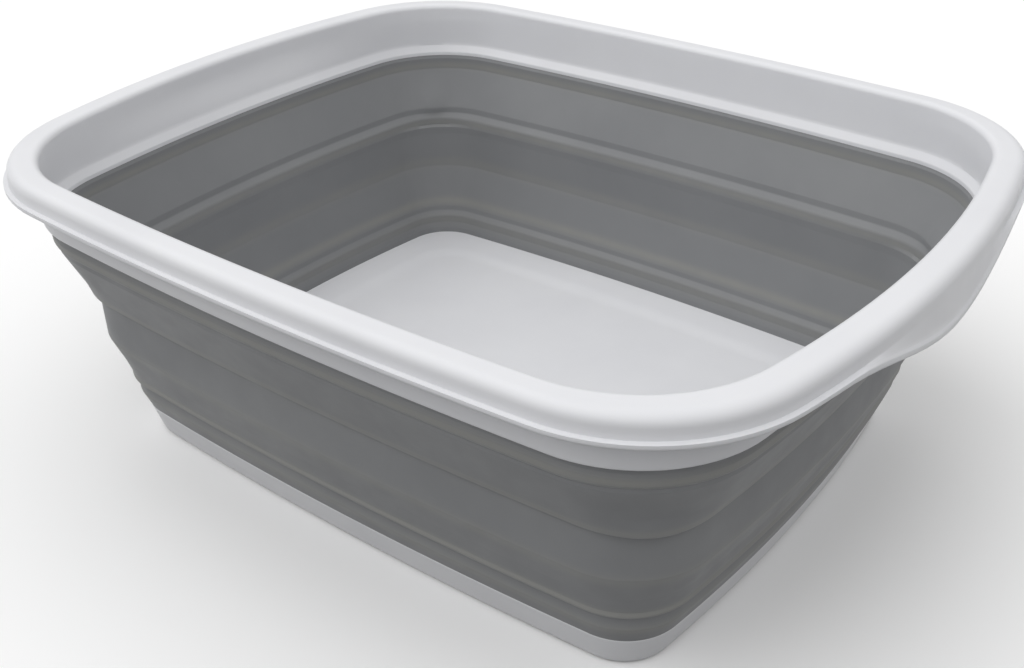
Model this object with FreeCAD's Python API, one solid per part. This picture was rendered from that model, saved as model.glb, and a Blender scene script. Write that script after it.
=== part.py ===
"""Collapsible pet bathtub: white rim, folding soft wall, white base tray, four non-slip feet.

Millimetres, +Z up. The origin is the centre of the underside, on the ground, X runs along the
length, and the tub is symmetric about both upright planes. It is drawn fully opened. Every
solid is written to parts/ under its node's name.

Seen from above, every level of the tub is one rounded rectangle with slightly bowed sides. The
folding wall's levels are all offsets of one core rectangle, so that each sloping fold panel
can turn inside out between the rings above and below it.
"""
import FreeCAD
import Part

import math
import os

# Core rectangle: the wall's corner centres, which all its levels share
CORE_X = 148.0
CORE_Y = 111.0
SIDE_BOW = 5.0            # how far the middle of a long side stands out past its corners
END_BOW = 7.0             # the same at the short ends

# Wall levels: height above the ground, and outside offset from the core rectangle
FOOT_Z = 1.0              # underside of the tray's skirt
FOOT_OFFSET = 25.0
FLOOR_Z = 18.0            # floor of the tub, and top edge of the tray
FLOOR_OFFSET = 30.0
LOW_RING_Z = 34.0         # top of the wall's bottom ring, where the lower fold starts
LOW_RING_OFFSET = 33.0
BAND_LOW_Z = 65.0         # upright middle band of the wall
BAND_HIGH_Z = 93.0
BAND_OFFSET = 45.0
STRIP_LOW_Z = 125.5       # top strip of the wall, bonded under the rim
STRIP_HIGH_Z = 136.0
STRIP_OFFSET = 61.0
RING_WALL = 2.6           # thickness of the soft rings
FOLD_WALL = 1.8           # thickness of the soft fold panels

# Rim: an inverted channel whose inner wall flares at the ends
RIM_WALL = 2.5
RIM_FLANGE_OFFSET = 64.8  # outside of the inner wall, at its lower edge
LEDGE_HEIGHT = 4.5        # bevelled ledge inside the lower edge
RIM_TOP_Z = 168.5
CROWN_DROP = 8.0          # height of the crown's rounding
CROWN_IN_SHARE = 0.6      # how far the rounding reaches on the inner side, as a share of it
CROWN_IN_X = 215.0        # inner wall just under the crown
CROWN_IN_Y = 173.5
CROWN_OUT_X = 232.0       # outer wall just under the crown
CROWN_OUT_Y = 187.5
CROWN_IN_CORNER = 68.0
CROWN_OUT_CORNER = 80.0
ROUNDING_STEPS = 3        # flats that make up each rounding
RIM_SIDE_BOW = 5.0
RIM_END_BOW = 10.0
LIP_FLARE = 2.0           # how far the skirt leans out over its full depth
LIP_SIDE_Z = 154.5        # skirt's lower edge along the long sides and round the corners
LIP_END_Z = 136.0         # the same in the middle of the end grips
LIP_LOW_Y = 4.0           # the edge is at its lowest up to here, on each side of the middle
LIP_HIGH_Y = 80.0         # and has risen to its full height by here

# Tray
TRAY_WALL = 2.5
PANEL_SINK = 0.8          # shallow sunk panel in the floor
PANEL_X = 150.0
PANEL_Y = 114.0
PANEL_CORNER = 22.0
RIB_WIDTH = 1.8
RIB_DEPTH = 6.0
RIB_PITCH = 44.0

# Feet
FOOT_X = 138.0
FOOT_Y = 101.0
FOOT_RADIUS = 9.0
FOOT_THICKNESS = 3.0
BOSS_RADIUS = 11.0
STUD_RADIUS = 3.0
STUD_LENGTH = 6.0
STUD_CLEARANCE = 0.05

UP = FreeCAD.Vector(0, 0, 1)
FAR_PAST = 20.0           # how far a cutting solid runs past the faces it cuts
FUSE_OVERLAP = 0.5        # how far a boss runs into the floor it stands under


def bowed_radius(half_span, bow):
    """Radius of an arc that stands out by bow over half_span to each side."""
    return (half_span ** 2 + bow ** 2) / (2.0 * bow)


def outline(half_x, half_y, corner, side_radius, end_radius, z):
    """Closed wire of eight tangent arcs: four bowed sides and four corners."""
    side_centre = FreeCAD.Vector(0, half_y - side_radius, z)
    end_centre = FreeCAD.Vector(half_x - end_radius, 0, z)
    to_side = side_radius - corner
    to_end = end_radius - corner
    gap = end_centre - side_centre
    along = (to_side ** 2 - to_end ** 2 + gap.Length ** 2) / (2.0 * gap.Length)
    across = math.sqrt(to_side ** 2 - along ** 2)
    direction = FreeCAD.Vector(gap).normalize()
    sideways = direction.cross(UP)
    centre = side_centre + direction * along + sideways * across
    side_end = side_centre + (centre - side_centre).normalize() * side_radius
    end_start = end_centre + (centre - end_centre).normalize() * end_radius
    diagonal = (side_end - centre).normalize() + (end_start - centre).normalize()
    corner_middle = centre + diagonal.normalize() * corner

    def mirrored(point, sign_x, sign_y):
        return FreeCAD.Vector(point.x * sign_x, point.y * sign_y, point.z)

    def arc(first, middle, last):
        return Part.Arc(first, middle, last).toShape()

    end_middle = FreeCAD.Vector(half_x, 0, z)
    side_middle = FreeCAD.Vector(0, half_y, z)
    edges = [arc(mirrored(end_start, 1, -1), end_middle, end_start)]
    edges.append(arc(end_start, corner_middle, side_end))
    edges.append(arc(side_end, side_middle, mirrored(side_end, -1, 1)))
    edges.append(arc(mirrored(side_end, -1, 1), mirrored(corner_middle, -1, 1),
                     mirrored(end_start, -1, 1)))
    edges.append(arc(mirrored(end_start, -1, 1), mirrored(end_middle, -1, 1),
                     mirrored(end_start, -1, -1)))
    edges.append(arc(mirrored(end_start, -1, -1), mirrored(corner_middle, -1, -1),
                     mirrored(side_end, -1, -1)))
    edges.append(arc(mirrored(side_end, -1, -1), mirrored(side_middle, 1, -1),
                     mirrored(side_end, 1, -1)))
    edges.append(arc(mirrored(side_end, 1, -1), mirrored(corner_middle, 1, -1),
                     mirrored(end_start, 1, -1)))
    return Part.Wire(edges)


def wall_outline(offset, z):
    """Outline of the wall at one level: the core rectangle grown by offset."""
    side_radius = bowed_radius(CORE_X, SIDE_BOW) + offset
    end_radius = bowed_radius(CORE_Y, END_BOW) + offset
    return outline(CORE_X + offset, CORE_Y + offset, offset, side_radius, end_radius, z)


def rim_outline(half_x, half_y, corner, z):
    """Outline of the rim at one level, with the rim's own bows."""
    side_radius = bowed_radius(half_x - corner, RIM_SIDE_BOW)
    end_radius = bowed_radius(half_y - corner, RIM_END_BOW)
    return outline(half_x, half_y, corner, side_radius, end_radius, z)


def loft(wires):
    """Solid through a stack of outlines, straight between neighbours."""
    return Part.makeLoft(wires, True, True)


def ring(levels, wall):
    """Soft ring or fold panel: levels are (outside offset, height), wall its thickness."""
    outside = loft([wall_outline(offset, z) for offset, z in levels])
    inside = loft([wall_outline(offset - wall, z) for offset, z in levels])
    return outside.cut(inside)


def lip_cutter():
    """Everything under the skirt's lower edge, which dips in a smooth curve at the grips."""
    low = LIP_END_Z - FAR_PAST
    side = CROWN_OUT_Y + FAR_PAST
    middle_y = (LIP_LOW_Y + LIP_HIGH_Y) / 2.0
    middle_z = (LIP_SIDE_Z + LIP_END_Z) / 2.0
    turn = (LIP_HIGH_Y - LIP_LOW_Y) / 4.0

    def half_curve(sign):
        deep = FreeCAD.Vector(0, sign * LIP_LOW_Y, LIP_END_Z)
        turn_low = FreeCAD.Vector(0, sign * (LIP_LOW_Y + turn), LIP_END_Z)
        middle = FreeCAD.Vector(0, sign * middle_y, middle_z)
        turn_high = FreeCAD.Vector(0, sign * (LIP_HIGH_Y - turn), LIP_SIDE_Z)
        high = FreeCAD.Vector(0, sign * LIP_HIGH_Y, LIP_SIDE_Z)
        lower = Part.BezierCurve()
        lower.setPoles([deep, turn_low, middle])
        upper = Part.BezierCurve()
        upper.setPoles([middle, turn_high, high])
        return [lower.toShape(), upper.toShape()]

    def line(y_start, z_start, y_end, z_end):
        return Part.makeLine(FreeCAD.Vector(0, y_start, z_start),
                             FreeCAD.Vector(0, y_end, z_end))

    edges = half_curve(1) + half_curve(-1)
    edges.append(line(-LIP_LOW_Y, LIP_END_Z, LIP_LOW_Y, LIP_END_Z))
    for sign in (1, -1):
        edges.append(line(sign * LIP_HIGH_Y, LIP_SIDE_Z, sign * side, LIP_SIDE_Z))
        edges.append(line(sign * side, LIP_SIDE_Z, sign * side, low))
    edges.append(line(-side, low, side, low))
    face = Part.Face(Part.Wire(Part.__sortEdges__(edges)))
    end = CROWN_OUT_X + FAR_PAST
    face.translate(FreeCAD.Vector(-end, 0, 0))
    return face.extrude(FreeCAD.Vector(2 * end, 0, 0))


def rounding_angles():
    """Angles of the flats that make up a rounding, in radians."""
    return [math.pi / 2.0 * step / ROUNDING_STEPS for step in range(1, ROUNDING_STEPS + 1)]


def rim_profile(inset, low_z):
    """Outside levels of the rim's skirt and crown, drawn in by inset."""
    shoulder_z = RIM_TOP_Z - CROWN_DROP
    flare = LIP_FLARE * (shoulder_z - low_z) / (shoulder_z - LIP_END_Z)
    levels = [(flare - inset, low_z), (-inset, shoulder_z)]
    for turn in rounding_angles():
        levels.append((-inset - CROWN_DROP * (1 - math.cos(turn)),
                       shoulder_z + CROWN_DROP * math.sin(turn) - inset))
    wires = []
    for shift, z in levels:
        wires.append(rim_outline(CROWN_OUT_X + shift, CROWN_OUT_Y + shift,
                                 CROWN_OUT_CORNER + shift, z))
    return wires


def rim_inside(inset):
    """Levels of the rim's inner wall, moved outwards by inset, from the ledge to the top."""
    shoulder_z = RIM_TOP_Z - CROWN_DROP
    ledge = STRIP_OFFSET - RING_WALL
    wall = RIM_FLANGE_OFFSET - RIM_WALL
    wires = []
    if inset == 0:
        wires.append(wall_outline(ledge, STRIP_HIGH_Z))
        wires.append(wall_outline(wall, STRIP_HIGH_Z + LEDGE_HEIGHT))
    else:
        wires.append(wall_outline(RIM_FLANGE_OFFSET, STRIP_HIGH_Z - FAR_PAST))
        wires.append(wall_outline(RIM_FLANGE_OFFSET, STRIP_HIGH_Z + LEDGE_HEIGHT))
    wires.append(rim_outline(CROWN_IN_X + inset, CROWN_IN_Y + inset,
                             CROWN_IN_CORNER + inset, shoulder_z))
    if inset == 0:
        for turn in rounding_angles():
            outward = CROWN_IN_SHARE * CROWN_DROP * (1 - math.cos(turn))
            wires.append(rim_outline(CROWN_IN_X + outward, CROWN_IN_Y + outward,
                                     CROWN_IN_CORNER + outward,
                                     shoulder_z + CROWN_DROP * math.sin(turn)))
    return wires


def rim_frame():
    """Rim in one moulding: inner wall with its ledge, crown, skirt and the two end grips."""
    low = STRIP_HIGH_Z - FAR_PAST
    shoulder_z = RIM_TOP_Z - CROWN_DROP
    channel_top = shoulder_z + CROWN_DROP - 2 * RIM_WALL
    outside = loft(rim_profile(0.0, low))
    bowl = loft(rim_inside(0.0))
    channel_outside = loft(rim_profile(RIM_WALL, low)[:2] + [
        rim_outline(CROWN_OUT_X - 2 * RIM_WALL, CROWN_OUT_Y - 2 * RIM_WALL,
                    CROWN_OUT_CORNER - 2 * RIM_WALL, channel_top)])
    channel_inside = loft(rim_inside(RIM_WALL) + [
        rim_outline(CROWN_IN_X + 2 * RIM_WALL, CROWN_IN_Y + 2 * RIM_WALL,
                    CROWN_IN_CORNER + 2 * RIM_WALL, channel_top)])
    skirt_cut = lip_cutter().cut(loft(rim_inside(RIM_WALL)))
    shape = outside.cut(channel_outside.cut(channel_inside)).cut(skirt_cut)
    end = CROWN_OUT_X + FAR_PAST
    side = CROWN_OUT_Y + FAR_PAST
    under = Part.makeBox(2 * end, 2 * side, STRIP_HIGH_Z, FreeCAD.Vector(-end, -side, 0))
    return shape.cut(under).cut(bowl)


def stiffening_ribs(underside_z):
    """Crossing ribs under the floor."""
    reach_x = CORE_X + FOOT_OFFSET - TRAY_WALL
    reach_y = CORE_Y + FOOT_OFFSET - TRAY_WALL
    low = underside_z - RIB_DEPTH
    ribs = []
    count_x = int(reach_x // RIB_PITCH)
    for step in range(-count_x, count_x + 1):
        ribs.append(Part.makeBox(RIB_WIDTH, 2 * reach_y, RIB_DEPTH + RIB_WIDTH,
                                 FreeCAD.Vector(step * RIB_PITCH - RIB_WIDTH / 2,
                                                -reach_y, low)))
    count_y = int(reach_y // RIB_PITCH)
    for step in range(-count_y, count_y + 1):
        ribs.append(Part.makeBox(2 * reach_x, RIB_WIDTH, RIB_DEPTH + RIB_WIDTH,
                                 FreeCAD.Vector(-reach_x,
                                                step * RIB_PITCH - RIB_WIDTH / 2, low)))
    return ribs


def foot_places():
    """Centres of the four feet, with the names of their corners."""
    places = {}
    for end, sign_x in (("left", -1), ("right", 1)):
        for side, sign_y in (("front", -1), ("back", 1)):
            places[side + "_" + end] = (sign_x * FOOT_X, sign_y * FOOT_Y)
    return places


def sunk_panel():
    """Shallow space over the floor's sunk panel, with a bevelled border."""
    side_radius = bowed_radius(CORE_X, SIDE_BOW)
    end_radius = bowed_radius(CORE_Y, END_BOW)
    bottom = outline(PANEL_X - PANEL_SINK, PANEL_Y - PANEL_SINK, PANEL_CORNER,
                     side_radius, end_radius, FLOOR_Z - PANEL_SINK)
    top = outline(PANEL_X, PANEL_Y, PANEL_CORNER, side_radius, end_radius, FLOOR_Z)
    return loft([bottom, top])


def base_tray():
    """Floor with its sunk panel, drafted skirt, ribs, and bosses that hold the feet."""
    underside_z = FLOOR_Z - TRAY_WALL - PANEL_SINK
    outside = loft([wall_outline(FOOT_OFFSET, FOOT_Z), wall_outline(FLOOR_OFFSET, FLOOR_Z)])
    slope = (FLOOR_OFFSET - FOOT_OFFSET) / (FLOOR_Z - FOOT_Z)
    hollow = loft([wall_outline(FOOT_OFFSET - TRAY_WALL, FOOT_Z),
                   wall_outline(FOOT_OFFSET - TRAY_WALL + slope * (underside_z - FOOT_Z),
                                underside_z)])
    additions = [rib.common(hollow) for rib in stiffening_ribs(underside_z)]
    for x, y in foot_places().values():
        additions.append(Part.makeCylinder(BOSS_RADIUS,
                                           underside_z - FOOT_THICKNESS + FUSE_OVERLAP,
                                           FreeCAD.Vector(x, y, FOOT_THICKNESS)))
    shape = outside.cut(hollow).multiFuse(additions)
    for x, y in foot_places().values():
        shape = shape.cut(Part.makeCylinder(STUD_RADIUS + STUD_CLEARANCE,
                                            STUD_LENGTH + STUD_CLEARANCE,
                                            FreeCAD.Vector(x, y, FOOT_THICKNESS)))
    return shape.cut(sunk_panel()).removeSplitter()


def foot_pad(x, y):
    """Soft round pad with a stud that presses into its boss."""
    pad = Part.makeCylinder(FOOT_RADIUS, FOOT_THICKNESS, FreeCAD.Vector(x, y, 0))
    stud = Part.makeCylinder(STUD_RADIUS, STUD_LENGTH, FreeCAD.Vector(x, y, FOOT_THICKNESS))
    return pad.fuse(stud).removeSplitter()


def build():
    """All the tub's nodes by name."""
    nodes = {
        "rim_frame": rim_frame(),
        "top_wall_strip": ring([(STRIP_OFFSET, STRIP_LOW_Z), (STRIP_OFFSET, STRIP_HIGH_Z)],
                               RING_WALL),
        "upper_fold_panel": ring([(BAND_OFFSET, BAND_HIGH_Z),
                                  (STRIP_OFFSET, STRIP_LOW_Z)], FOLD_WALL),
        "middle_wall_band": ring([(BAND_OFFSET, BAND_LOW_Z), (BAND_OFFSET, BAND_HIGH_Z)],
                                 RING_WALL),
        "lower_fold_panel": ring([(LOW_RING_OFFSET, LOW_RING_Z),
                                  (BAND_OFFSET, BAND_LOW_Z)], FOLD_WALL),
        "bottom_wall_ring": ring([(FLOOR_OFFSET, FLOOR_Z), (LOW_RING_OFFSET, LOW_RING_Z)],
                                 RING_WALL),
        "base_tray": base_tray(),
    }
    for corner, (x, y) in foot_places().items():
        nodes["foot_pad_" + corner] = foot_pad(x, y)
    return nodes


def main():
    """Write every node to parts/ and print what it measures."""
    os.makedirs("parts", exist_ok=True)
    for name, shape in build().items():
        shape.exportStep(os.path.join("parts", name + ".step"))
        box = shape.BoundBox
        print("%-22s solids %d valid %s volume %.0f mm3 x %.1f y %.1f z %.1f to %.1f" % (
            name, len(shape.Solids), shape.isValid(), shape.Volume,
            box.XMax, box.YMax, box.ZMin, box.ZMax))


main()
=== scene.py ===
"""Collapsible pet bathtub: the visible surfaces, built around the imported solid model.

The tub is a satin white rim whose ends form the grips, a soft grey wall with two folds, a white
base tray and four rubber feet. Sizes below are millimetres; meshes are made in metres.
"""

import logging
import math
from dataclasses import dataclass
from enum import Enum
from typing import Callable, NamedTuple, Sequence

import bmesh
import bpy
from mathutils import Matrix, Vector


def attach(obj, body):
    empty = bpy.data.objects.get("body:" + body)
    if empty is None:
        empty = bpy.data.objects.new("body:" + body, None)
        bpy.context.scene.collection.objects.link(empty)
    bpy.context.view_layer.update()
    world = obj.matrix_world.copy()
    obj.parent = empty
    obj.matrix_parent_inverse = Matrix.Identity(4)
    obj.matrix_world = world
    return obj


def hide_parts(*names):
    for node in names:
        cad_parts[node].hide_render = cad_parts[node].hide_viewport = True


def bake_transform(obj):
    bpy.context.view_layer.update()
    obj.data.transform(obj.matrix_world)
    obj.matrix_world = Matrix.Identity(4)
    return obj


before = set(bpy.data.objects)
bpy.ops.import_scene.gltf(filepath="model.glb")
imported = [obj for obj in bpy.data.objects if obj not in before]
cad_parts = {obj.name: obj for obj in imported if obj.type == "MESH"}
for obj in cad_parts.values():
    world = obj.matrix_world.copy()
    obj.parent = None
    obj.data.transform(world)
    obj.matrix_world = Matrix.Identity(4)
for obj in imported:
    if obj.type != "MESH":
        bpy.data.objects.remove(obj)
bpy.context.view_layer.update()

LOG = logging.getLogger("bathtub")
MM = 0.001
STRAIGHT = math.radians(179)     # corners flatter than this are left as they are
LONGEST_CUT = 0.49               # most of a run that one rounding may take
SAME_PLACE = 1e-7                # points nearer than this, in metres, are one point
AXIS_RADIUS = 0.05               # smallest loop of a turned piece, which its cap closes

Plane = tuple[float, float]
Loop = list[Vector]


class ProfilePoint(NamedTuple):
    """One corner of a cross-section: how far out, how high, and how it is rounded."""

    out: float
    up: float
    rounding: float = 0.0


class Corner(Enum):
    """The four corners of the tub, as the signs of X and Y."""

    FRONT_LEFT = (-1, -1)
    BACK_LEFT = (-1, 1)
    FRONT_RIGHT = (1, -1)
    BACK_RIGHT = (1, 1)


class Body(Enum):
    """The parts of the tub that move as one."""

    BASE = "base"
    MIDDLE = "middle"
    RIM = "rim"


# ---------------------------------------------------------------------------- shape helpers


def smooth_step(value: float) -> float:
    """Ease a number into and out of the range 0 to 1."""
    t = min(1.0, max(0.0, value))
    return t * t * (3.0 - 2.0 * t)


def between(first: float, second: float, share: float) -> float:
    """Number at a share of the way from first to second."""
    return first + (second - first) * share


def rounded_corner(before: Vector, corner: Vector, after: Vector, radius: float,
                   steps: int) -> list[Vector]:
    """Points of the arc that rounds one corner of a line.

    Args:
        before: The point before the corner.
        corner: The corner itself.
        after: The point after it.
        radius: Radius of the arc, made smaller where the neighbours are too close.
        steps: How many pieces the arc is made of.

    Returns:
        The arc's points, or the corner alone where the line runs straight on.
    """
    back = before - corner
    ahead = after - corner
    cosine = back.normalized().dot(ahead.normalized())
    angle = math.acos(min(1.0, max(-1.0, cosine)))
    if radius <= 0 or angle > STRAIGHT:
        return [corner]
    tangent = math.tan(angle / 2)
    cut = min(radius / tangent, LONGEST_CUT * back.length, LONGEST_CUT * ahead.length)
    bisector = (back.normalized() + ahead.normalized()).normalized()
    centre = corner + bisector * (cut * tangent / math.sin(angle / 2))
    first = corner + back.normalized() * cut - centre
    last = corner + ahead.normalized() * cut - centre
    turn = math.atan2(first.x * last.y - first.y * last.x, first.dot(last))
    points = []
    for step in range(steps + 1):
        spin = turn * step / steps
        points.append(centre + Vector((
            first.x * math.cos(spin) - first.y * math.sin(spin),
            first.x * math.sin(spin) + first.y * math.cos(spin))))
    return points


def rounded_line(points: Sequence[ProfilePoint], closed: bool = False, steps: int = 5,
                 longest: float = 3.0) -> list[Plane]:
    """Cross-section line with its corners rounded and its long runs divided.

    Args:
        points: The corners of the line.
        closed: Whether the last point joins the first.
        steps: How many pieces each arc is made of.
        longest: Length that no run is longer than.

    Returns:
        Points as (out, up).
    """
    flat = [Vector((p.out, p.up)) for p in points]
    count = len(flat)
    bent: list[Vector] = []
    for index, corner in enumerate(flat):
        if not closed and index in (0, count - 1):
            bent.append(corner)
            continue
        bent += rounded_corner(flat[index - 1], corner, flat[(index + 1) % count],
                               points[index].rounding, steps)
    line: list[Plane] = []
    pairs = list(zip(bent, bent[1:] + (bent[:1] if closed else [])))
    for first, second in pairs:
        parts = max(1, math.ceil((second - first).length / longest))
        for part in range(parts):
            place = first.lerp(second, part / parts)
            line.append((place.x, place.y))
    if not closed:
        line.append((bent[-1].x, bent[-1].y))
    return line


def slice_of(line: Sequence[Plane], top: float, bottom: float) -> list[Plane]:
    """Part of a falling cross-section line between two heights, with its cut ends.

    Args:
        line: Points as (out, up), from the top down.
        top: Height that the part starts at.
        bottom: Height that it ends at.

    Returns:
        The points of the part, in the same order.
    """
    kept: list[Plane] = []
    for first, second in zip(line, line[1:]):
        for level in (top, bottom):
            if second[1] < level < first[1]:
                share = (first[1] - level) / (first[1] - second[1])
                kept.append((between(first[0], second[0], share), level))
        if bottom <= second[1] <= top:
            kept.append(second)
    if line[0][1] <= top:
        kept.insert(0, line[0])
    return kept


def bowed_radius(half_span: float, bow: float) -> float:
    """Radius of an arc that stands out by bow over half_span to each side."""
    return (half_span ** 2 + bow ** 2) / (2.0 * bow)


@dataclass(frozen=True)
class Outline:
    """Rounded rectangle of eight tangent arcs, seen from above.

    Args:
        half_length: Half the size along X.
        half_width: Half the size along Y.
        corner: Radius of the corners.
        side_radius: Radius of the bowed long sides.
        end_radius: Radius of the bowed ends.
    """

    half_length: float
    half_width: float
    corner: float
    side_radius: float
    end_radius: float
    END_STEPS = 12
    CORNER_STEPS = 18
    SIDE_STEPS = 18

    def quarter(self) -> list[Plane]:
        """Points from the middle of the right end to the middle of the back side.

        Returns:
            The points, in anticlockwise order.
        """
        side = Vector((0.0, self.half_width - self.side_radius))
        end = Vector((self.half_length - self.end_radius, 0.0))
        to_side = self.side_radius - self.corner
        to_end = self.end_radius - self.corner
        gap = end - side
        along = (to_side ** 2 - to_end ** 2 + gap.length ** 2) / (2 * gap.length)
        across = math.sqrt(to_side ** 2 - along ** 2)
        ahead = gap.normalized()
        middle = side + ahead * along + Vector((ahead.y, -ahead.x)) * across
        end_turn = math.atan2(*(middle - end).yx)
        side_turn = math.atan2(*(middle - side).yx)
        arcs = ((end, self.end_radius, 0.0, end_turn, self.END_STEPS),
                (middle, self.corner, end_turn, side_turn, self.CORNER_STEPS),
                (side, self.side_radius, side_turn, math.pi / 2, self.SIDE_STEPS))
        points = []
        for centre, radius, start, stop, steps in arcs:
            for step in range(steps):
                turn = between(start, stop, step / steps)
                points.append((centre.x + radius * math.cos(turn),
                               centre.y + radius * math.sin(turn)))
        points.append((0.0, self.half_width))
        return points

    def loop(self) -> list[Plane]:
        """The whole closed outline, anticlockwise from the middle of the right end.

        Returns:
            The points of the outline.
        """
        first = self.quarter()
        second = [(-x, y) for x, y in reversed(first)][1:]
        half = first + second
        return half + [(x, -y) for x, y in reversed(half)][1:-1]


@dataclass(frozen=True)
class TubPlan:
    """Plan of the tub: the core rectangle that every level of the wall grows from."""

    core_x: float = 148.0
    core_y: float = 111.0
    side_bow: float = 5.0
    end_bow: float = 7.0
    diagonal_spread: float = 0.42
    diagonal_offsets: tuple[float, float] = (20.0, 60.0)

    def wall(self, offset: float) -> list[Plane]:
        """Outline of the wall at an offset from the core."""
        return Outline(self.core_x + offset, self.core_y + offset, offset,
                       bowed_radius(self.core_x, self.side_bow) + offset,
                       bowed_radius(self.core_y, self.end_bow) + offset).loop()

    def diagonal_share(self) -> list[float]:
        """How close each station is to a corner's diagonal.

        Returns:
            One number for each point of a loop: 1 on a diagonal, near 0 on the sides.
        """
        near, far = (self.wall(offset) for offset in self.diagonal_offsets)
        shares = []
        for (x0, y0), (x1, y1) in zip(near, far):
            turn = math.atan2(abs(y1 - y0), abs(x1 - x0))
            shares.append(math.exp(-((turn - math.pi / 4) / self.diagonal_spread) ** 2))
        return shares


PLAN = TubPlan()


def at_height(outline: Sequence[Plane], height: float) -> Loop:
    """An outline lifted to a height, in metres."""
    return [Vector((x, y, height)) * MM for x, y in outline]


def mesh_piece(name: str, points: Sequence[Vector], faces: Sequence[Sequence[int]],
               sharp_degrees: float = 40.0) -> bpy.types.Object:
    """Smooth-shaded object with outward faces, made from points and faces.

    Args:
        name: Name of the piece.
        points: Its points, in metres.
        faces: Its faces, as numbers of points.
        sharp_degrees: Edges that turn more than this stay crisp.

    Returns:
        The new object, linked to the scene.
    """
    mesh = bpy.data.meshes.new(name)
    mesh.from_pydata([tuple(p) for p in points], [], [tuple(f) for f in faces])
    work = bmesh.new()
    work.from_mesh(mesh)
    bmesh.ops.remove_doubles(work, verts=work.verts, dist=SAME_PLACE)
    bmesh.ops.recalc_face_normals(work, faces=work.faces)
    for face in work.faces:
        face.smooth = True
    work.to_mesh(mesh)
    work.free()
    mesh.set_sharp_from_angle(angle=math.radians(sharp_degrees))
    piece = bpy.data.objects.new(name, mesh)
    bpy.context.scene.collection.objects.link(piece)
    return piece


def ring_piece(name: str, loops: Sequence[Loop], sharp_degrees: float = 40.0
               ) -> bpy.types.Object:
    """Closed ring swept through loops that go once round its cross-section.

    Args:
        name: Name of the piece.
        loops: Loops round the tub, in order round the cross-section.
        sharp_degrees: Edges that turn more than this stay crisp.

    Returns:
        The new object.
    """
    count = len(loops[0])
    points = [p for loop in loops for p in loop]
    faces = []
    for row in range(len(loops)):
        below = ((row + 1) % len(loops)) * count
        for k in range(count):
            turn = (k + 1) % count
            faces.append((row * count + k, row * count + turn, below + turn, below + k))
    return mesh_piece(name, points, faces, sharp_degrees)


def capped_piece(name: str, loops: Sequence[Loop], sharp_degrees: float = 40.0
                 ) -> bpy.types.Object:
    """Solid swept through loops, closed by a fan at its first and last loop.

    Args:
        name: Name of the piece.
        loops: Loops from one end of the solid to the other.
        sharp_degrees: Edges that turn more than this stay crisp.

    Returns:
        The new object.
    """
    count = len(loops[0])
    points = [p for loop in loops for p in loop]
    faces: list[tuple[int, ...]] = []
    for row in range(len(loops) - 1):
        here, below = row * count, (row + 1) * count
        for k in range(count):
            turn = (k + 1) % count
            faces.append((here + k, here + turn, below + turn, below + k))
    for row in (0, len(loops) - 1):
        middle = sum(loops[row], Vector()) / count
        points.append(middle)
        hub = len(points) - 1
        for k in range(count):
            faces.append((row * count + k, row * count + (k + 1) % count, hub))
    return mesh_piece(name, points, faces, sharp_degrees)


def turned_piece(name: str, centre: Plane, line: Sequence[Plane], steps: int = 64
                 ) -> bpy.types.Object:
    """Solid of revolution about an upright axis.

    Args:
        name: Name of the piece.
        centre: Where the axis stands.
        line: Half cross-section as (radius, up).
        steps: How many faces go round it.

    Returns:
        The new object.
    """
    loops = []
    for radius, up in line:
        loops.append([Vector((centre[0] + radius * math.cos(2 * math.pi * k / steps),
                              centre[1] + radius * math.sin(2 * math.pi * k / steps),
                              up)) * MM for k in range(steps)])
    return capped_piece(name, loops)


# ---------------------------------------------------------------------------- finishes


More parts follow.
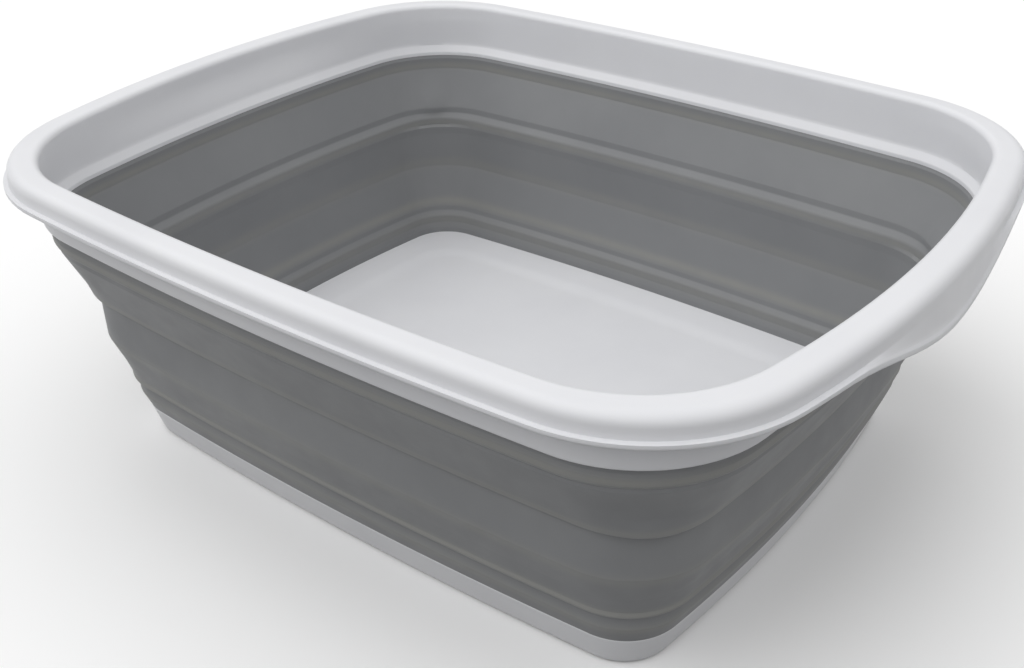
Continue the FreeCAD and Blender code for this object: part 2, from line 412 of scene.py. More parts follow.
class NodeGraph:
    """Small helper that adds and joins the nodes of one material."""

    def __init__(self, name: str) -> None:
        """Start a material with an empty node tree.

        Args:
            name: What to call the material.
        """
        self.material = bpy.data.materials.new(name)
        self.material.use_nodes = True
        self.tree = self.material.node_tree
        self.tree.nodes.clear()
        self.shader = self.add("ShaderNodeBsdfPrincipled")
        output = self.add("ShaderNodeOutputMaterial")
        self.join(self.shader.outputs["BSDF"], output.inputs["Surface"])
        self.place = self.add("ShaderNodeTexCoord").outputs["Object"]

    def add(self, kind: str, **settings: object) -> bpy.types.Node:
        """Add a node and set its properties.

        Args:
            kind: What type of node it is.
            settings: The properties to set on it.

        Returns:
            The new node.
        """
        node = self.tree.nodes.new(kind)
        for key, value in settings.items():
            setattr(node, key, value)
        return node

    def join(self, source: bpy.types.NodeSocket, target: bpy.types.NodeSocket) -> None:
        """Link two sockets."""
        self.tree.links.new(source, target)

    def noise(self, scale: float, detail: float = 2.0) -> bpy.types.NodeSocket:
        """Noise over the surface.

        Args:
            scale: Cells per metre.
            detail: How many finer layers it has.

        Returns:
            The noise's value.
        """
        node = self.add("ShaderNodeTexNoise")
        node.inputs["Scale"].default_value = scale
        node.inputs["Detail"].default_value = detail
        self.join(self.place, node.inputs["Vector"])
        return node.outputs["Fac"]

    def spread(self, source: bpy.types.NodeSocket, low: float, high: float,
               from_low: float = 0.3, from_high: float = 0.7) -> bpy.types.NodeSocket:
        """Map a pattern to a range of values.

        Args:
            source: The pattern.
            low: Value at and under from_low.
            high: Value at and over from_high.
            from_low: Where the pattern's range starts.
            from_high: Where it ends.

        Returns:
            The mapped value.
        """
        node = self.add("ShaderNodeMapRange")
        node.inputs["From Min"].default_value = from_low
        node.inputs["From Max"].default_value = from_high
        node.inputs["To Min"].default_value = low
        node.inputs["To Max"].default_value = high
        self.join(source, node.inputs["Value"])
        return node.outputs["Result"]

    def mix(self, share: bpy.types.NodeSocket, first: object, second: object
            ) -> bpy.types.NodeSocket:
        """Mix two colours.

        Args:
            share: How much of the second colour there is, 0 to 1.
            first: A socket or a plain colour.
            second: A socket or a plain colour.

        Returns:
            The mixed colour.
        """
        node = self.add("ShaderNodeMix", data_type="RGBA")
        self.join(share, node.inputs["Factor"])
        colours = [s for s in node.inputs if s.type == "RGBA"]
        for socket, colour in zip(colours, (first, second)):
            if isinstance(colour, bpy.types.NodeSocket):
                self.join(colour, socket)
            else:
                socket.default_value = (*colour, 1.0)
        return next(s for s in node.outputs if s.type == "RGBA")

    def bump(self, height: bpy.types.NodeSocket, strength: float, distance: float,
             under: bpy.types.NodeSocket | None = None) -> bpy.types.NodeSocket:
        """Surface grain from a height pattern.

        Args:
            height: The pattern.
            strength: How strongly it shows, 0 to 1.
            distance: How high it is, in metres.
            under: Another grain that this one lies over.

        Returns:
            The grained normal.
        """
        node = self.add("ShaderNodeBump")
        node.inputs["Strength"].default_value = strength
        node.inputs["Distance"].default_value = distance
        self.join(height, node.inputs["Height"])
        if under is not None:
            self.join(under, node.inputs["Normal"])
        return node.outputs["Normal"]


@dataclass(frozen=True)
class SatinPolypropylene:
    """White moulded plastic: satin, faintly cool, with a fine spark-eroded grain."""

    colour: tuple[float, float, float] = (0.765, 0.77, 0.792)
    shade: tuple[float, float, float] = (0.725, 0.73, 0.755)
    roughness: tuple[float, float] = (0.36, 0.46)
    grain_scale: float = 2600.0
    grain: tuple[float, float] = (0.10, 0.00008)
    cloud_scale: float = 14.0
    flow_scale: float = 126.0
    flow: tuple[float, float] = (0.05, 0.0003)
    refraction: float = 1.49
    depth_weight: float = 0.06
    depth_radius: tuple[float, float, float] = (0.004, 0.004, 0.0045)

    def material(self, name: str) -> bpy.types.Material:
        """Build the material.

        Args:
            name: What to call it.

        Returns:
            The finished material.
        """
        graph = NodeGraph(name)
        cloud = graph.noise(self.cloud_scale, 3.0)
        grain = graph.noise(self.grain_scale, 2.0)
        flow = graph.noise(self.flow_scale, 4.0)
        graph.join(graph.mix(graph.spread(cloud, 0.0, 1.0), self.colour, self.shade),
                   graph.shader.inputs["Base Color"])
        graph.join(graph.spread(flow, *self.roughness), graph.shader.inputs["Roughness"])
        graph.join(graph.bump(grain, *self.grain, graph.bump(flow, *self.flow)),
                   graph.shader.inputs["Normal"])
        graph.shader.inputs["IOR"].default_value = self.refraction
        graph.shader.inputs["Subsurface Weight"].default_value = self.depth_weight
        graph.shader.inputs["Subsurface Radius"].default_value = self.depth_radius
        graph.shader.inputs["Subsurface Scale"].default_value = 1.0
        return graph.material


@dataclass(frozen=True)
class SoftElastomer:
    """Grey soft-touch elastomer: matt, slightly powdery, with a painted highlight that makes
    its fold ridges paler.
    """

    colour: tuple[float, float, float] = (0.232, 0.237, 0.243)
    shade: tuple[float, float, float] = (0.205, 0.21, 0.218)
    # Painted highlight: a paler, warmer grey laid on the fold ridges.
    ridge_highlight: tuple[float, float, float] = (0.268, 0.268, 0.254)
    roughness: tuple[float, float] = (0.50, 0.62)
    grain_scale: float = 1900.0
    grain: tuple[float, float] = (0.18, 0.00012)
    cloud_scale: float = 11.0
    smear_scale: float = 77.0
    smear: tuple[float, float] = (0.07, 0.0005)
    least_pale: float = 0.65
    sheen: float = 0.12
    sheen_roughness: float = 0.5
    refraction: float = 1.45

    def material(self, name: str) -> bpy.types.Material:
        """Build the material.

        Args:
            name: What to call it.

        Returns:
            The finished material.
        """
        graph = NodeGraph(name)
        cloud = graph.noise(self.cloud_scale, 4.0)
        grain = graph.noise(self.grain_scale, 3.0)
        smear = graph.noise(self.smear_scale, 5.0)
        body = graph.mix(graph.spread(cloud, 0.0, 1.0), self.colour, self.shade)
        # Painted highlight: the fold ridges are made paler in colour, as if light caught them.
        ridge_highlight_share = graph.add("ShaderNodeAttribute", attribute_name="ridge_highlight_share").outputs["Fac"]
        pale = graph.add("ShaderNodeMath", operation="MULTIPLY")
        graph.join(ridge_highlight_share, pale.inputs[0])
        graph.join(graph.spread(smear, self.least_pale, 1.0), pale.inputs[1])
        graph.join(graph.mix(pale.outputs[0], body, self.ridge_highlight),
                   graph.shader.inputs["Base Color"])
        graph.join(graph.spread(smear, *self.roughness), graph.shader.inputs["Roughness"])
        graph.join(graph.bump(grain, *self.grain, graph.bump(smear, *self.smear)),
                   graph.shader.inputs["Normal"])
        graph.shader.inputs["Sheen Weight"].default_value = self.sheen
        graph.shader.inputs["Sheen Roughness"].default_value = self.sheen_roughness
        graph.shader.inputs["IOR"].default_value = self.refraction
        return graph.material


@dataclass(frozen=True)
class StudioPaper:
    """Seamless pale paper under the tub."""

    colour: tuple[float, float, float] = (0.96, 0.96, 0.96)
    pulp_scale: float = 3.0
    pulp_dim: float = 0.985
    roughness: float = 0.9
    gloss: float = 0.1

    def material(self, name: str) -> bpy.types.Material:
        """Build the material.

        Args:
            name: What to call it.

        Returns:
            The finished material.
        """
        graph = NodeGraph(name)
        pulp = graph.noise(self.pulp_scale, 2.0)
        dim = tuple(c * self.pulp_dim for c in self.colour)
        graph.join(graph.mix(graph.spread(pulp, 0.0, 1.0), self.colour, dim),
                   graph.shader.inputs["Base Color"])
        graph.shader.inputs["Roughness"].default_value = self.roughness
        graph.shader.inputs["Specular IOR Level"].default_value = self.gloss
        return graph.material


@dataclass(frozen=True)
class Finishes:
    """Every material of the tub."""

    plastic: bpy.types.Material
    wall: bpy.types.Material
    foot: bpy.types.Material

    @classmethod
    def made(cls) -> "Finishes":
        """Build all the materials."""
        foot = SoftElastomer(colour=(0.165, 0.17, 0.175), shade=(0.14, 0.145, 0.15),
                             ridge_highlight=(0.19, 0.19, 0.19), roughness=(0.55, 0.7))
        return cls(SatinPolypropylene().material("satin_white_plastic"),
                   SoftElastomer().material("soft_grey_elastomer"),
                   foot.material("foot_rubber"))


def dress(piece: bpy.types.Object, material: bpy.types.Material) -> None:
    """Give a piece its finish, and report it.

    Args:
        piece: The piece.
        material: Its finish.
    """
    piece.data.materials.clear()
    piece.data.materials.append(material)
    LOG.info("%s: %d faces", piece.name, len(piece.data.polygons))


# ---------------------------------------------------------------------------- the rim


@dataclass
class RimFrame:
    """White rim: inner wall with a bevelled ledge, rounded crown, and a skirt whose beaded
    lower edge drops at the ends to form the grips."""

    wall: float = 2.5
    flange_offset: float = 64.8
    flange_z: float = 135.6
    ledge_offset: float = 59.4
    ledge_foot_z: float = 134.2
    ledge_edge_z: float = 136.6
    ledge_top_z: float = 140.6
    neck_z: float = 158.0
    top_z: float = 168.5
    crown_in: tuple[float, float, float] = (215.0, 173.5, 68.0)
    crown_out: tuple[float, float, float] = (232.0, 187.5, 80.0)
    side_bow: float = 5.0
    end_bow: float = 10.0
    inner_rounding: float = 3.0
    outer_rounding: float = 6.0
    crown_slope: float = 1.0
    lip_side_z: float = 154.8
    lip_end_z: float = 139.4
    lip_rise: tuple[float, float] = (0.0, 95.0)
    lip_flare: float = 1.2
    bead_out: float = 1.1
    bead_height: float = 5.0
    wall_steps: int = 8
    wall_hollow: float = 0.05
    channel_lead: float = 1.2
    channel_inset: float = 4.2
    skirt_stations: tuple[tuple[float, float], ...] = (
        (0.10, 0.0), (0.45, 0.0), (0.8, 0.0), (1.0, 0.05))
    skirt_least: float = 0.2
    bead_room: float = 0.3
    crown_lean: tuple[float, float] = (0.3, 0.4)
    crown_drop: float = 0.3
    crown_sharp: float = 50.0

    @property
    def inner_offset(self) -> float:
        """Offset of the inner wall's face where it meets the ledge."""
        return self.flange_offset - self.wall

    @property
    def channel_top(self) -> float:
        """Height of the roof of the hollow under the crown."""
        return self.top_z - 2 * self.wall

    def guide(self, size: tuple[float, float, float], grow: float) -> list[Plane]:
        """Outline of the crown's inner or outer edge.

        Args:
            size: Half length, half width and corner radius of the edge.
            grow: How far outside the edge the outline runs.

        Returns:
            The closed outline.
        """
        half_x, half_y, corner = size
        return Outline(half_x + grow, half_y + grow, corner + grow,
                       bowed_radius(half_x - corner, self.side_bow) + grow,
                       bowed_radius(half_y - corner, self.end_bow) + grow).loop()

    def lip_height(self, y: float) -> float:
        """Height of the skirt's lower edge, which dips in the middle of the end grips.

        Args:
            y: Place across the tub.

        Returns:
            The height, in millimetres.
        """
        start, stop = self.lip_rise
        return between(self.lip_end_z, self.lip_side_z,
                       smooth_step((abs(y) - start) / (stop - start)))

    def inner_wall(self, thickness: float) -> list[Loop]:
        """Loops of the inner wall from its ledge to the neck under the crown.

        Args:
            thickness: How far outside the wall's inner face the loops run.

        Returns:
            The loops, from the lowest up.
        """
        low = PLAN.wall(self.inner_offset + thickness)
        high = self.guide(self.crown_in, thickness)
        loops = []
        for step in range(self.wall_steps + 1):
            share = step / self.wall_steps
            ease = share - self.wall_hollow * math.sin(2 * math.pi * share)
            height = between(self.ledge_top_z, self.neck_z, share)
            loops.append([Vector((between(a[0], b[0], ease), between(a[1], b[1], ease),
                                  height)) * MM for a, b in zip(low, high)])
        return loops

    def across(self, share: float, height: float, grow: float = 0.0) -> Loop:
        """Loop between the crown's inner and outer edges.

        Args:
            share: How far out it lies, 0 at the inner and 1 at the outer edge.
            height: Its height.
            grow: How far outside that place it runs.

        Returns:
            The loop, in metres.
        """
        near = self.guide(self.crown_in, grow)
        far = self.guide(self.crown_out, grow)
        return [Vector((between(a[0], b[0], share), between(a[1], b[1], share), height)) * MM
                for a, b in zip(near, far)]

    def crown(self) -> list[Loop]:
        """Loops over the crown, from its inner edge to the shoulder of the skirt.

        Returns:
            The loops, from the inside out.
        """
        width = self.crown_out[1] - self.crown_in[1]
        lean_in, lean_out = self.crown_lean
        line = rounded_line([
            ProfilePoint(0.0, self.neck_z),
            ProfilePoint(lean_in, self.top_z - self.crown_drop, self.inner_rounding),
            ProfilePoint(width - lean_out, self.top_z - self.crown_slope,
                         self.outer_rounding),
            ProfilePoint(width, self.neck_z)], steps=9, longest=1.6)
        return [self.across(out / width, up) for out, up in line[1:]]

    def skirt(self) -> list[Loop]:
        """Loops down the skirt, round its bead, and back up inside.

        Returns:
            The loops, from the neck down to the lip and up to the hollow's roof.
        """
        outline = self.guide(self.crown_out, 0.0)
        wide = self.guide(self.crown_out, 1.0)
        normals = [Vector((b[0] - a[0], b[1] - a[1])) for a, b in zip(outline, wide)]
        loops = []

        def add(out_at: Callable[[float], float], height_at: Callable[[float], float]
                ) -> None:
            """Add one loop.

            Args:
                out_at: How far out it lies, from the height of the lip there.
                height_at: How high it lies, from the height of the lip there.
            """
            loop = []
            for (x, y), normal in zip(outline, normals):
                lip = self.lip_height(y)
                place = Vector((x, y)) + normal * out_at(lip)
                loop.append(Vector((place.x, place.y, height_at(lip))) * MM)
            loops.append(loop)

        def depth(lip: float) -> float:
            """Distance from the neck down to the top of the bead."""
            return self.neck_z - lip - self.bead_height

        for share, bulge in self.skirt_stations:
            add(lambda lip, s=share, b=bulge: self.lip_flare * s + b,
                lambda lip, s=share: self.neck_z - max(self.skirt_least, depth(lip)) * s)
        bead = rounded_line([
            ProfilePoint(0.0, self.bead_height),
            ProfilePoint(self.bead_out * 0.25, self.bead_height - 0.4, 0.5),
            ProfilePoint(self.bead_out, self.bead_height - 1.5, 1.2),
            ProfilePoint(self.bead_out + 0.1, 0.0, 1.9),
            ProfilePoint(-self.wall + 0.1, 0.0, 0.8),
            ProfilePoint(-self.wall, 2.0, 0.0)], steps=6, longest=1.0)
        for out, up in bead[1:]:
            add(lambda lip, o=out: self.lip_flare + o,
                lambda lip, u=up: min(lip + u, self.neck_z - self.bead_room))
        add(lambda lip: -self.wall, lambda lip: self.neck_z)
        add(lambda lip: -self.wall - self.channel_lead, lambda lip: self.channel_top)
        return loops

    def ledge(self) -> list[Loop]:
        """Loops round the flange and the bevelled ledge, to the foot of the inner wall.

        Returns:
            The loops, from the flange's outer edge inwards.
        """
        line = rounded_line([
            ProfilePoint(self.flange_offset, self.ledge_top_z),
            ProfilePoint(self.flange_offset, self.flange_z, 0.9),
            ProfilePoint(self.flange_offset - 2.2, self.flange_z, 0.5),
            ProfilePoint(self.ledge_offset + 1.4, self.flange_z + 0.2, 0.5),
            ProfilePoint(self.ledge_offset + 1.2, self.ledge_foot_z, 0.4),
            ProfilePoint(self.ledge_offset, self.ledge_foot_z, 0.5),
            ProfilePoint(self.ledge_offset, self.ledge_edge_z, 1.3),
            ProfilePoint(self.inner_offset, self.ledge_top_z, 1.5),
            ProfilePoint(self.inner_offset + 0.05, self.ledge_top_z + 2.0)],
            steps=6, longest=1.2)
        loops = [at_height(PLAN.wall(out), up) for out, up in line[:-1]]
        top = self.ledge_top_z * MM - SAME_PLACE
        return [loop for loop in loops if loop[0].z < top]

    def build(self, finishes: Finishes) -> bpy.types.Object:
        """Build the rim in one moulding, dress it and hang it on its body.

        Args:
            finishes: The tub's finishes.

        Returns:
            The rim.
        """
        hollow = self.across(0.0, self.channel_top, self.channel_inset)
        back = list(reversed(self.inner_wall(self.wall)))
        loops = (self.ledge() + self.inner_wall(0.0) + self.crown() + self.skirt()
                 + [hollow] + back)
        piece = ring_piece("rim_moulding", loops, self.crown_sharp)
        dress(piece, finishes.plastic)
        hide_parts("rim_frame")
        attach(piece, Body.RIM.value)
        return piece


# ---------------------------------------------------------------------------- the folding wall


class WallPart(NamedTuple):
    """One length of the soft wall, from its top to its bottom, and what it moves with."""

    name: str
    top: float
    bottom: float
    node: str
    bodies: tuple[Body, ...]
    bend: tuple[float, float] | None


@dataclass
class FoldingWall:
    """Soft grey wall: two sloping fold panels between an upright band and two rings.

    Both faces run from the top to the bottom as (offset from the core, height, rounding).
    """

    outside: tuple[ProfilePoint, ...] = (
        ProfilePoint(61.6, 136.2), ProfilePoint(61.0, 131.6, 0.8),
        ProfilePoint(62.0, 129.6, 1.2), ProfilePoint(62.0, 126.0, 1.3),
        ProfilePoint(60.0, 123.9, 0.9), ProfilePoint(60.1, 121.6, 1.5),
        ProfilePoint(47.8, 93.8, 1.5), ProfilePoint(46.9, 91.2, 0.8),
        ProfilePoint(45.0, 90.2, 0.7), ProfilePoint(44.9, 65.5, 3.0),
        ProfilePoint(39.0, 50.0, 6.0), ProfilePoint(36.0, 40.0, 2.0),
        ProfilePoint(36.3, 37.0, 1.6), ProfilePoint(33.4, 34.6, 1.2),
        ProfilePoint(33.6, 27.6, 4.0), ProfilePoint(30.4, 19.4, 0.8),
        ProfilePoint(29.9, 18.0))
    inside: tuple[ProfilePoint, ...] = (
        ProfilePoint(60.0, 136.2), ProfilePoint(59.3, 134.0, 0.3),
        ProfilePoint(58.6, 132.6, 0.5), ProfilePoint(58.6, 125.6, 1.8),
        ProfilePoint(46.6, 102.4, 3.0), ProfilePoint(46.0, 98.8, 1.8),
        ProfilePoint(42.6, 95.4, 3.0), ProfilePoint(42.4, 89.6, 3.0),
        ProfilePoint(42.9, 85.0, 3.0), ProfilePoint(42.9, 61.4, 3.6),
        ProfilePoint(33.4, 35.0, 2.6), ProfilePoint(32.8, 32.2, 1.6),
        ProfilePoint(29.8, 29.4, 2.4), ProfilePoint(29.6, 24.6, 2.4),
        ProfilePoint(28.0, 21.0, 1.6), ProfilePoint(27.2, 17.8))
    parts: tuple[WallPart, ...] = (
        WallPart("wall_top_strip", 136.2, 127.6, "top_wall_strip", (Body.RIM,), None),
        WallPart("wall_upper_fold", 127.6, 88.0, "upper_fold_panel",
                 (Body.MIDDLE, Body.RIM), (92.0, 125.5)),
        WallPart("wall_middle_band", 88.0, 68.5, "middle_wall_band", (Body.MIDDLE,), None),
        WallPart("wall_lower_fold", 68.5, 29.5, "lower_fold_panel",
                 (Body.BASE, Body.MIDDLE), (34.0, 65.0)),
        WallPart("wall_bottom_ring", 29.5, 17.8, "bottom_wall_ring", (Body.BASE,), None))
    # Fold ridges that get a painted highlight, as (height, half spread, weight).
    ridges: tuple[tuple[float, float, float], ...] = (
        (127.8, 2.2, 1.0), (93.0, 2.2, 0.8), (64.0, 3.5, 0.6), (38.5, 2.6, 1.0),
        (27.0, 3.0, 0.7))
    corner_full: float = 2.4
    corner_full_z: tuple[float, float] = (91.0, 104.0)
    crease_depth: float = 2.2
    crease_z: tuple[float, float] = (97.0, 124.0)
    crease_lean: float = 0.7
    crease_power: float = 1.5
    crease_outside: float = 0.35
    crease_narrow: int = 6
    fold_foot_z: float = 90.5
    rounding_steps: int = 6
    longest_step: float = 1.3
    fold_sharp: float = 55.0

    def ridge_highlight_share(self, height: float) -> float:
        """How much painted highlight the wall gets, strongest on its fold ridges.

        Args:
            height: Where on the wall, in millimetres.

        Returns:
            The share of painted highlight, 0 to 1.
        """
        total = 0.0
        for middle, half, weight in self.ridges:
            total += weight * math.exp(-((height - middle) / half) ** 2)
        return min(1.0, total)

    def corner_swell(self, height: float) -> float:
        """How far the corners stand out at the foot of the upper fold.

        Args:
            height: Where on the wall, in millimetres.

        Returns:
            The distance on a corner's diagonal.
        """
        low, high = self.corner_full_z
        if height < self.fold_foot_z:
            return 0.0
        return self.corner_full * (1.0 - smooth_step((height - low) / (high - low)))

    def crease(self, height: float) -> float:
        """How deep the corner crease of the upper fold is.

        Args:
            height: Where on the wall, in millimetres.

        Returns:
            The depth on a corner's diagonal.
        """
        low, high = self.crease_z
        share = (height - low) / (high - low)
        if not 0.0 < share < 1.0:
            return 0.0
        wave = math.sin(math.pi * share ** self.crease_lean)
        return self.crease_depth * wave ** self.crease_power

    def loop(self, out: float, up: float, is_outside: bool) -> Loop:
        """One loop of the wall, with its fuller and creased corners.

        Args:
            out: Offset from the core rectangle.
            up: Height of the loop.
            is_outside: Whether it belongs to the outside face.

        Returns:
            The loop, in metres.
        """
        near, far = PLAN.wall(out), PLAN.wall(out + 1.0)
        shares = PLAN.diagonal_share()
        swell = self.corner_swell(up)
        depth = self.crease(up) * (self.crease_outside if is_outside else 1.0)
        points = []
        for (x0, y0), (x1, y1), share in zip(near, far, shares):
            push = swell * share - depth * share ** self.crease_narrow
            points.append(Vector((x0 + (x1 - x0) * push, y0 + (y1 - y0) * push, up)) * MM)
        return points

    def build(self, finishes: Finishes) -> list[bpy.types.Object]:
        """Build the five lengths of the wall and dress them; hang the top strip, middle band
        and bottom ring on their bodies.

        Args:
            finishes: The tub's finishes.

        Returns:
            The lengths, from the top down.
        """
        outside = rounded_line(self.outside, steps=self.rounding_steps,
                               longest=self.longest_step)
        inside = rounded_line(self.inside, steps=self.rounding_steps,
                              longest=self.longest_step)
        pieces = []
        for part in self.parts:
            outer = slice_of(outside, part.top, part.bottom)
            inner = slice_of(inside, part.top, part.bottom)
            loops = [self.loop(out, up, True) for out, up in outer]
            loops += [self.loop(out, up, False) for out, up in reversed(inner)]
            piece = ring_piece(part.name, loops, self.fold_sharp)
            self.mark_ridge_highlight(piece)
            dress(piece, finishes.wall)
            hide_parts(part.node)
            if part.bend is None:
                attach(piece, part.bodies[0].value)
            else:
                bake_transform(piece)
            pieces.append(piece)
        return pieces

    def mark_ridge_highlight(self, piece: bpy.types.Object) -> None:
        """Store the share of painted ridge highlight at each point, for the finish to read.

        Args:
            piece: A length of the wall.
        """
        layer = piece.data.attributes.new("ridge_highlight_share", "FLOAT", "POINT")
        for vertex in piece.data.vertices:
            layer.data[vertex.index].value = self.ridge_highlight_share(vertex.co.z / MM)


# ---------------------------------------------------------------------------- the base


@dataclass
class BaseTray:
    """White base: drafted skirt, floor with a shallow sunk panel, ribs and foot bosses."""

    foot_offset: float = 25.0
    foot_z: float = 1.0
    floor_offset: float = 30.0
    floor_z: float = 18.0
    wall: float = 2.5
    underside_z: float = 14.7
    panel: tuple[float, float, float] = (150.0, 114.0, 22.0)
    panel_sink: float = 1.5
    border: float = 13.0
    rib_pitch: float = 44.0
    rib_width: float = 1.8
    rib_low_z: float = 8.7
    foot_centre: Plane = (138.0, 101.0)
    boss_radius: float = 11.0
    boss_low_z: float = 3.0
    boss_draft: float = 0.4
    floor_edge: float = 28.2
    fall_steps: int = 8
    floor_shares: tuple[float, ...] = (0.85, 0.65, 0.4, 0.15)
    underside_shares: tuple[float, ...] = (0.15, 0.4, 0.7, 0.9)
    rib_counts: tuple[int, int] = (3, 2)
    rib_taper: float = 0.85
    rib_embed: float = 1.2
    overlap: float = 0.8
    boss_faces: int = 48
    rib_sharp: float = 60.0
    edge_sharp: float = 40.0

    def panel_loop(self, grow: float, height: float) -> Loop:
        """Loop round the sunk panel.

        Args:
            grow: How far outside the panel's outline it runs.
            height: Its height.

        Returns:
            The loop, in metres.
        """
        half_x, half_y, corner = self.panel
        side = bowed_radius(PLAN.core_x, PLAN.side_bow)
        end = bowed_radius(PLAN.core_y, PLAN.end_bow)
        return at_height(Outline(half_x + grow, half_y + grow, corner + grow,
                                 side + grow, end + grow).loop(), height)

    def floor_loops(self) -> list[Loop]:
        """Loops of the floor from its edge to near its middle.

        Returns:
            The loops, from the edge inwards.
        """
        loops = [at_height(PLAN.wall(self.floor_edge), self.floor_z)]
        for step in range(self.fall_steps + 1):
            share = step / self.fall_steps
            height = self.floor_z - self.panel_sink * smooth_step(share)
            loops.append(self.panel_loop(self.border * (0.5 - share), height))
        ring = loops[-1]
        for share in self.floor_shares:
            loops.append([Vector((p.x * share, p.y * share, p.z)) for p in ring])
        return loops

    def shell(self) -> bpy.types.Object:
        """The tray without its ribs.

        Returns:
            The new shell.
        """
        slope = (self.floor_offset - self.foot_offset) / (self.floor_z - self.foot_z)
        outer_low = self.foot_offset - self.wall
        outer_high = outer_low + slope * (self.underside_z - self.foot_z)
        line = rounded_line([
            ProfilePoint(outer_high - 4.0, self.underside_z),
            ProfilePoint(outer_high, self.underside_z, 1.5),
            ProfilePoint(outer_low, self.foot_z, 0.5),
            ProfilePoint(self.foot_offset, self.foot_z, 0.7),
            ProfilePoint(self.floor_offset, self.floor_z, 0.6),
            ProfilePoint(self.floor_edge, self.floor_z)], steps=5, longest=2.5)
        skirt = [at_height(PLAN.wall(out), up) for out, up in line[:-1]]
        underside = [[Vector((p.x * s, p.y * s, self.underside_z * MM)) for p in skirt[0]]
                     for s in self.underside_shares]
        return capped_piece("tray_shell", underside + skirt + self.floor_loops(),
                            self.edge_sharp)

    def rib(self, reach: float, place: float, along_x: bool) -> bpy.types.Object:
        """One stiffening rib with a thinner, rounded lower edge.

        Args:
            reach: Half its length.
            place: Where it stands, across its own direction.
            along_x: Whether it runs along X rather than along Y.

        Returns:
            The new rib.
        """
        half = self.rib_width / 2
        high = self.underside_z + self.overlap
        section = rounded_line([
            ProfilePoint(-half, high),
            ProfilePoint(-half * self.rib_taper, self.rib_low_z, 0.5),
            ProfilePoint(half * self.rib_taper, self.rib_low_z, 0.5),
            ProfilePoint(half, high)], closed=True, steps=4, longest=8.0)
        loops = []
        for end in (-reach, reach):
            if along_x:
                loops.append([Vector((end, place + out, up)) * MM for out, up in section])
            else:
                loops.append([Vector((place + out, end, up)) * MM for out, up in section])
        return capped_piece("rib", loops, self.rib_sharp)

    def boss(self, corner: Corner) -> bpy.types.Object:
        """Round boss that holds one foot.

        Args:
            corner: The corner it stands in.

        Returns:
            The new boss.
        """
        sign_x, sign_y = corner.value
        high = self.underside_z + self.overlap
        line = rounded_line([
            ProfilePoint(AXIS_RADIUS, self.boss_low_z),
            ProfilePoint(self.boss_radius, self.boss_low_z, 0.8),
            ProfilePoint(self.boss_radius + self.boss_draft, high),
            ProfilePoint(AXIS_RADIUS, high)], steps=4, longest=6.0)
        centre = (sign_x * self.foot_centre[0], sign_y * self.foot_centre[1])
        return turned_piece("boss", centre, line, self.boss_faces)

    def skirt_reach(self, place: float, along_x: bool) -> float:
        """How far a rib runs before it meets the middle of the skirt's thickness.

        Args:
            place: Where the rib stands, across its own direction.
            along_x: Whether it runs along X rather than along Y.

        Returns:
            The distance from the middle of the tray, or 0 where the rib misses the skirt.
        """
        outline = PLAN.wall(self.foot_offset + self.rib_embed)
        best = 0.0
        for (x0, y0), (x1, y1) in zip(outline, outline[1:]):
            first, second = (y0, y1) if along_x else (x0, x1)
            if (first - place) * (second - place) <= 0 and first != second:
                share = (place - first) / (second - first)
                best = max(best, between(x0, x1, share) if along_x
                           else between(y0, y1, share))
        return best

    def fuse(self, shell: bpy.types.Object, extras: Sequence[bpy.types.Object]) -> None:
        """Join ribs and bosses to the shell as one moulding.

        Args:
            shell: The tray's shell, which takes the joined shape.
            extras: The ribs and bosses, which are used up.
        """
        for extra in extras:
            joined = shell.modifiers.new(extra.name, "BOOLEAN")
            joined.operation = "UNION"
            joined.solver = "EXACT"
            joined.object = extra
        bpy.context.view_layer.update()
        solid = bpy.data.meshes.new_from_object(
            shell.evaluated_get(bpy.context.evaluated_depsgraph_get()))
        for extra in extras:
            bpy.data.objects.remove(extra)
        shell.modifiers.clear()
        shell.data = solid
        for polygon in solid.polygons:
            polygon.use_smooth = True
        solid.set_sharp_from_angle(angle=math.radians(self.edge_sharp))

    def build(self, finishes: Finishes) -> bpy.types.Object:
        """Build the tray with its ribs and bosses, dress it and hang it on its body.

        Args:
            finishes: The tub's finishes.

        Returns:
            The tray.
        """
        shell = self.shell()
        extras = []
        for along_x, count in zip((False, True), self.rib_counts):
            for step in range(-count, count + 1):
                place = step * self.rib_pitch
                reach = self.skirt_reach(place, along_x)
                if reach > 0:
                    extras.append(self.rib(reach, place, along_x))
        extras += [self.boss(corner) for corner in Corner]
        self.fuse(shell, extras)
        dress(shell, finishes.plastic)
        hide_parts("base_tray")
        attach(shell, Body.BASE.value)
        return shell


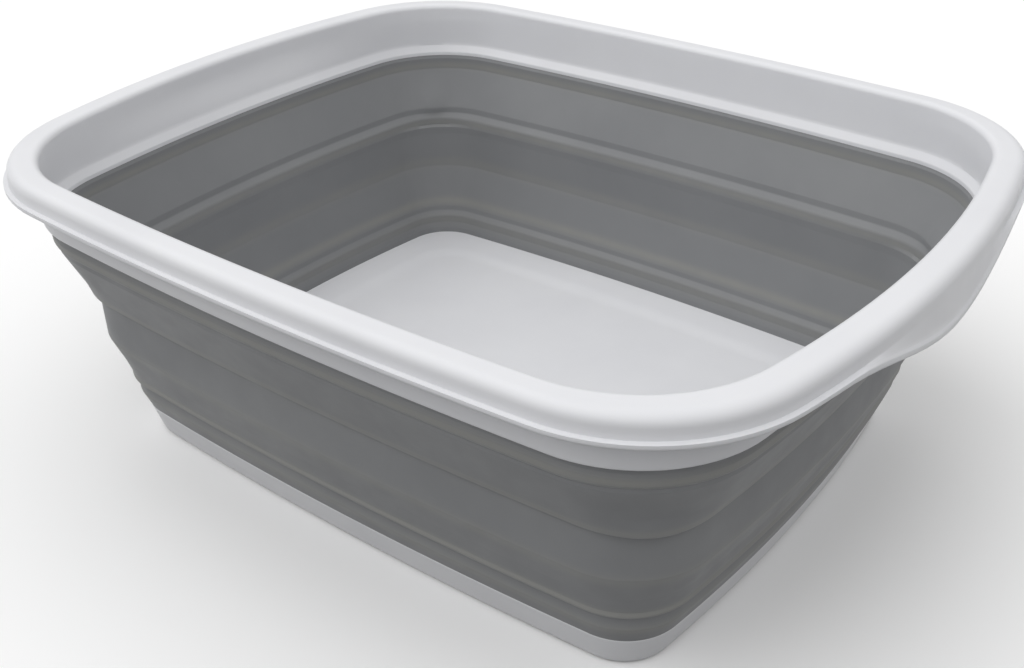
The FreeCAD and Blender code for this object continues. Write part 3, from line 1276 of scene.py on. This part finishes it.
@dataclass
class FootPads:
    """Four soft round feet with grip rings, pressed into the tray's bosses."""

    centre: Plane = (138.0, 101.0)
    radius: float = 9.0
    thickness: float = 3.0
    stud_radius: float = 2.95
    stud_length: float = 5.5
    groove_depth: float = 0.5
    groove_starts: tuple[float, ...] = (2.4, 4.6, 6.8)
    groove_flat: float = 0.8
    groove_slope: float = 0.2
    tray_gap: float = 0.05

    def line(self) -> list[Plane]:
        """Half cross-section of a foot, from its grip rings to the top of its stud.

        Returns:
            The points as (radius, up).
        """
        top = self.thickness - self.tray_gap
        stud_top = self.thickness + self.stud_length
        points = [ProfilePoint(AXIS_RADIUS, 0.0)]
        for start in self.groove_starts:
            end = start + self.groove_flat
            points += [ProfilePoint(start - self.groove_slope, 0.0, 0.2),
                       ProfilePoint(start, self.groove_depth, 0.15),
                       ProfilePoint(end, self.groove_depth, 0.15),
                       ProfilePoint(end + self.groove_slope, 0.0, 0.2)]
        points += [ProfilePoint(self.radius, 0.0, 0.7),
                   ProfilePoint(self.radius, top, 0.5),
                   ProfilePoint(self.stud_radius, top, 0.3),
                   ProfilePoint(self.stud_radius, stud_top, 0.6),
                   ProfilePoint(AXIS_RADIUS, stud_top)]
        return rounded_line(points, steps=4, longest=2.0)

    def build(self, finishes: Finishes) -> list[bpy.types.Object]:
        """Build the four feet, dress them and hang them on their body.

        Args:
            finishes: The tub's finishes.

        Returns:
            The feet.
        """
        feet = []
        for corner in Corner:
            sign_x, sign_y = corner.value
            name = corner.name.lower()
            foot = turned_piece("foot_" + name, (sign_x * self.centre[0],
                                                 sign_y * self.centre[1]), self.line())
            dress(foot, finishes.foot)
            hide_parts("foot_pad_" + name)
            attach(foot, Body.BASE.value)
            feet.append(foot)
        return feet


# ---------------------------------------------------------------------------- the studio


@dataclass
class Studio:
    """Pale floor, a room brightest overhead, a soft key from the front left, and the camera.

    The sky gives the room's brightness below, at the horizon and overhead.
    """

    azimuth: float = 37.833
    elevation: float = 31.029
    roll: float = -0.829
    distance: float = 0.7066
    target: tuple[float, float, float] = (-0.0040, 0.0024, 0.0500)
    lens: float = 44.65
    sensor: float = 36.0
    nearest: float = 0.01
    floor_half: float = 150.0
    floor_z: float = -0.0004
    sky: tuple[float, float, float] = (0.03, 0.33, 1.10)
    key: float = 1.0
    key_angle: float = 75.0
    key_from: tuple[float, float, float] = (-0.50, -0.65, 1.0)

    def add_floor(self) -> None:
        """Lay the floor."""
        half = self.floor_half
        corners = [(-half, -half, 0), (half, -half, 0), (half, half, 0), (-half, half, 0)]
        mesh = bpy.data.meshes.new("floor")
        mesh.from_pydata(corners, [], [(0, 1, 2, 3)])
        floor = bpy.data.objects.new("floor", mesh)
        floor.location.z = self.floor_z
        bpy.context.scene.collection.objects.link(floor)
        mesh.materials.append(StudioPaper().material("studio_paper"))
        # Diffuse rays pass through the floor, so it throws no light back up on the tub.
        floor.visible_diffuse = False

    def add_lights(self) -> None:
        """Set the soft key light and the even light of the room."""
        world = bpy.data.worlds.new("room")
        world.use_nodes = True
        tree = world.node_tree
        direction = tree.nodes.new("ShaderNodeTexCoord")
        axes = tree.nodes.new("ShaderNodeSeparateXYZ")
        height = tree.nodes.new("ShaderNodeMath")
        # From -1 to 1 down to 0 to 1, which the ramp takes.
        height.operation = "MULTIPLY_ADD"
        height.inputs[1].default_value = 0.5
        height.inputs[2].default_value = 0.5
        ramp = tree.nodes.new("ShaderNodeValToRGB")
        stops = ramp.color_ramp.elements
        stops.new(0.5)
        for stop, glow in zip(stops, self.sky):
            stop.color = (glow, glow, glow, 1.0)
        tree.links.new(direction.outputs["Generated"], axes.inputs[0])
        tree.links.new(axes.outputs["Z"], height.inputs[0])
        tree.links.new(height.outputs[0], ramp.inputs[0])
        tree.links.new(ramp.outputs[0], tree.nodes["Background"].inputs["Color"])
        bpy.context.scene.world = world
        light = bpy.data.lights.new("key", "SUN")
        light.energy = self.key
        light.angle = math.radians(self.key_angle)
        lamp = bpy.data.objects.new("key", light)
        lamp.rotation_mode = "QUATERNION"
        lamp.rotation_quaternion = Vector(self.key_from).to_track_quat("Z", "Y")
        bpy.context.scene.collection.objects.link(lamp)

    def add_camera(self) -> None:
        """Place the camera."""
        turn, lift = math.radians(self.azimuth), math.radians(self.elevation)
        back = Vector((math.sin(turn) * math.cos(lift), -math.cos(turn) * math.cos(lift),
                       math.sin(lift)))
        right = Vector((math.cos(turn), math.sin(turn), 0.0))
        up = back.cross(right)
        tilt = math.radians(self.roll)
        across = right * math.cos(tilt) + up * math.sin(tilt)
        above = up * math.cos(tilt) - right * math.sin(tilt)
        place = Vector(self.target) + back * self.distance
        data = bpy.data.cameras.new("camera")
        data.lens = self.lens
        data.sensor_width = self.sensor
        data.clip_start = self.nearest
        camera = bpy.data.objects.new("camera", data)
        camera.matrix_world = Matrix((
            (across.x, above.x, back.x, place.x), (across.y, above.y, back.y, place.y),
            (across.z, above.z, back.z, place.z), (0.0, 0.0, 0.0, 1.0)))
        bpy.context.scene.collection.objects.link(camera)
        bpy.context.scene.camera = camera

    def build(self) -> None:
        """Set up the whole studio."""
        self.add_floor()
        self.add_lights()
        self.add_camera()
        bpy.context.scene.view_settings.view_transform = "Standard"


def main() -> None:
    """Build the tub from the ground up and report each piece."""
    logging.basicConfig(level=logging.INFO, format="%(name)s %(message)s")
    Studio().build()
    finishes = Finishes.made()
    BaseTray().build(finishes)
    FootPads().build(finishes)
    FoldingWall().build(finishes)
    RimFrame().build(finishes)


if __name__ == "__main__":
    main()
